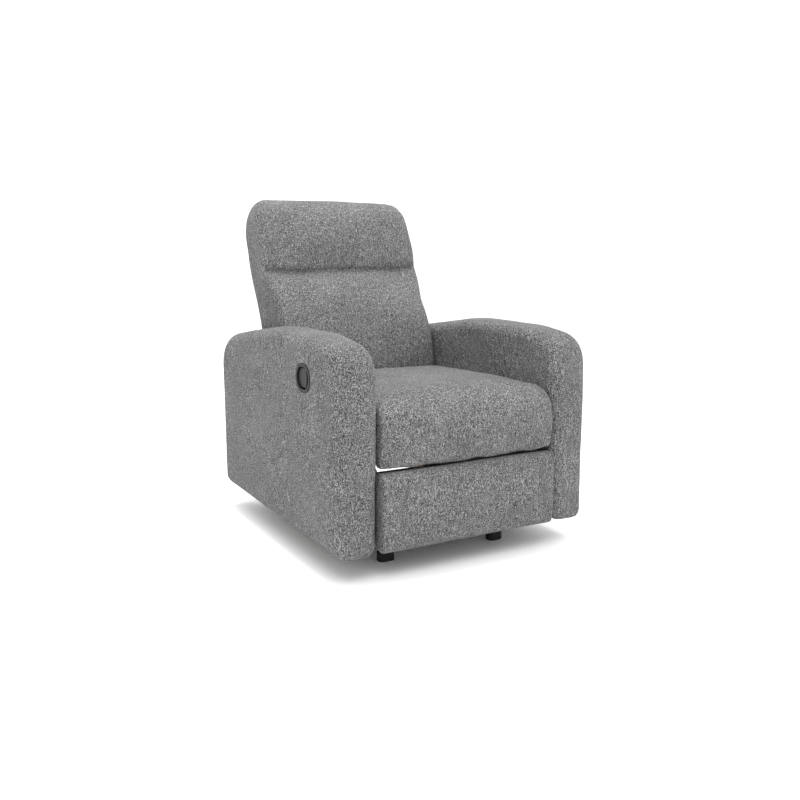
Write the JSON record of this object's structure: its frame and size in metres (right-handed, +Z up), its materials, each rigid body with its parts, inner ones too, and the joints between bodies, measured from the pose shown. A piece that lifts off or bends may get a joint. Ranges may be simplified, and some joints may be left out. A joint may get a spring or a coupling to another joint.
{
  "type": "recliner armchair",
  "caption": "Rocker recliner armchair in grey woven fabric with rounded arms, a two-part back, a fold-out footrest and a cup latch in the right arm.",
  "frame": {"origin": "Middle of the chair's bounding box, on the floor.", "axes": "+X to the sitter's left, -Y the way the sitter faces, +Z up."},
  "size_m": [0.803, 1.0315, 1.0264],
  "materials": {
    "grey_fabric": "matte",
    "frame_wood": "matte",
    "spring_wire": "satin",
    "black_plastic": "satin",
    "lever_plastic": "satin",
    "bumper_rubber": "matte",
    "bright_steel": "satin",
    "black_steel": "satin"
  },
  "bodies": {
    "base": {"base_rail_right": "black_steel", "base_rail_left": "black_steel", "base_cross_tubes": "black_steel", "feet": "black_plastic", "rock_bumpers": "bumper_rubber"},
    "carcass": {"arm_cover_right": "grey_fabric", "arm_cover_left": "grey_fabric", "arm_frame_right": "frame_wood", "arm_frame_left": "frame_wood", "cup_bezel": "black_plastic", "release_cable": "black_plastic", "side_plate_right": "black_steel", "side_plate_left": "black_steel", "guide_plate_right": "black_steel", "guide_plate_left": "black_steel", "slide_rails": "black_steel", "cross_tubes": "black_steel", "rocker_cam_right": "frame_wood", "rocker_cam_left": "frame_wood", "rocker_rail_right": "frame_wood", "rocker_rail_left": "frame_wood", "rear_apron": "grey_fabric"},
    "seat": {"seat_cushion": "grey_fabric", "seat_side_rail_right": "frame_wood", "seat_side_rail_left": "frame_wood", "seat_front_rail": "frame_wood", "seat_rear_rail": "frame_wood", "seat_runners": "black_steel", "seat_hinge_right": "black_steel", "seat_hinge_left": "black_steel", "seat_springs": "spring_wire"},
    "back": {"lumbar_cushion": "grey_fabric", "headrest_cushion": "grey_fabric", "outside_back": "grey_fabric", "back_side_pad_right": "grey_fabric", "back_side_pad_left": "grey_fabric", "back_stile_right": "frame_wood", "back_stile_left": "frame_wood", "back_bottom_rail": "frame_wood", "back_top_rail": "frame_wood", "back_springs": "spring_wire", "back_bracket_right": "black_steel", "back_bracket_left": "black_steel", "back_pins": "bright_steel"},
    "rear_links": {"torque_shaft": "bright_steel", "rear_link_right": "black_steel", "rear_link_left": "black_steel", "rear_link_pins": "bright_steel"},
    "control_links": {"control_link_right": "black_steel", "control_link_left": "black_steel", "control_link_pins": "bright_steel"},
    "front_links": {"front_link_right": "black_steel", "front_link_left": "black_steel"},
    "footrest": {"footrest_bracket_right": "black_steel", "footrest_bracket_left": "black_steel", "footrest_pins": "bright_steel", "footrest_board": "frame_wood", "footrest_pad": "grey_fabric"},
    "latch": {"latch_lever": "lever_plastic"}
  },
  "joints": [
    {"name": "rock", "type": "hinge", "parent": "base", "child": "carcass", "pos_m": [0, -0.05, 0.0623], "axis": [-1, 0, 0], "range_deg": [-5, 5], "stiffness_Nm_per_rad": 350},
    {"name": "seat_slide", "type": "slide", "parent": "carcass", "child": "seat", "axis": [0, -1, 0], "range_m": [0, 0.054]},
    {"name": "recline", "type": "hinge", "parent": "seat", "child": "back", "pos_m": [0, 0.16, 0.37], "axis": [-1, 0, 0], "range_deg": [0, 42]},
    {"name": "footrest_swing", "type": "hinge", "parent": "carcass", "child": "rear_links", "pos_m": [0, -0.418, 0.252], "axis": [-1, 0, 0], "range_deg": [0, 82]},
    {"name": "control_link_turn", "type": "hinge", "parent": "rear_links", "child": "control_links", "pos_m": [0, -0.4305, 0.18109], "axis": [-1, 0, 0], "range_deg": [-165, 1]},
    {"name": "front_link_turn", "type": "hinge", "parent": "rear_links", "child": "front_links", "pos_m": [0, -0.44544, 0.0964], "axis": [-1, 0, 0], "range_deg": [-165, 1]},
    {"name": "footrest_turn", "type": "hinge", "parent": "front_links", "child": "footrest", "pos_m": [0, -0.43582, 0.1879], "axis": [-1, 0, 0], "range_deg": [-1, 165]},
    {"name": "latch_pull", "type": "hinge", "parent": "carcass", "child": "latch", "pos_m": [-0.396, -0.266, 0.515], "axis": [0, 0, -1], "range_deg": [0, 25], "stiffness_Nm_per_rad": 0.4, "springref_deg": -11.46}
  ],
  "couplings": [
    {"joint": "seat_slide", "follows": "recline", "m_per_rad": 0.072984},
    {"joint": "control_link_turn", "follows": "footrest_swing", "ratio": -2},
    {"joint": "front_link_turn", "follows": "footrest_swing", "ratio": -2},
    {"joint": "footrest_turn", "follows": "footrest_swing", "ratio": 2}
  ]
}
